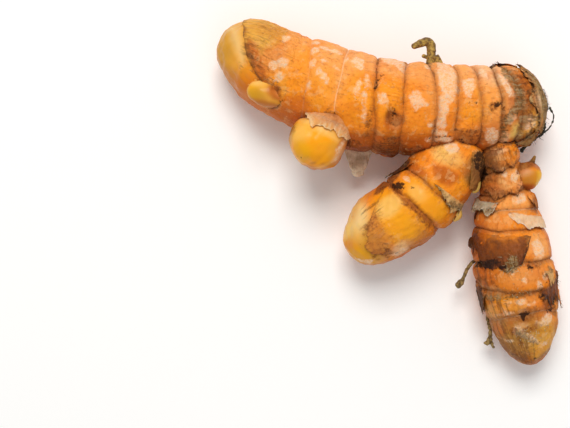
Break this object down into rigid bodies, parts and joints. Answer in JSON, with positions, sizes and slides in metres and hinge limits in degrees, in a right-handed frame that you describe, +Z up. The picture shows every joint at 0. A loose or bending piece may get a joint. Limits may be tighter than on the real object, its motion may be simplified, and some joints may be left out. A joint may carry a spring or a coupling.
{
  "type": "turmeric root",
  "caption": "Fresh ringed turmeric rhizome lying on its side: mother root, fingers, knob, buds, dry scale leaves and a dried shoot.",
  "frame": {"origin": "middle of the root's footprint, on the surface that it lies on", "axes": "+Z up, the root's thickness; the mother rhizome runs along X with its growing tip at -X, and the two fingers point towards -Y"},
  "size_m": [0.093, 0.0949, 0.0285],
  "materials": {
    "rhizome_skin": "moist semi-gloss skin",
    "young_scale": "satin",
    "brown_scale": "dry, ribbed",
    "grey_scale": "dry, matt",
    "fibrous_scale": "dry, fibrous",
    "dried_stem": "dry, matt"
  },
  "bodies": {
    "root": {"rhizome": "rhizome_skin", "tip_scale": "young_scale", "crown_scale": "fibrous_scale", "olive_scale": "fibrous_scale", "finger_1_collar": "grey_scale", "finger_1_tip_scale": "young_scale", "finger_1_back_scale": "brown_scale", "neck_scale_1": "brown_scale", "neck_scale_2": "brown_scale", "torn_scale": "grey_scale", "pale_scale": "young_scale", "brown_scale": "brown_scale", "edge_scale": "brown_scale", "side_scale": "brown_scale", "hanging_scale": "grey_scale", "dried_shoot": "dried_stem"}
  },
  "joints": []
}
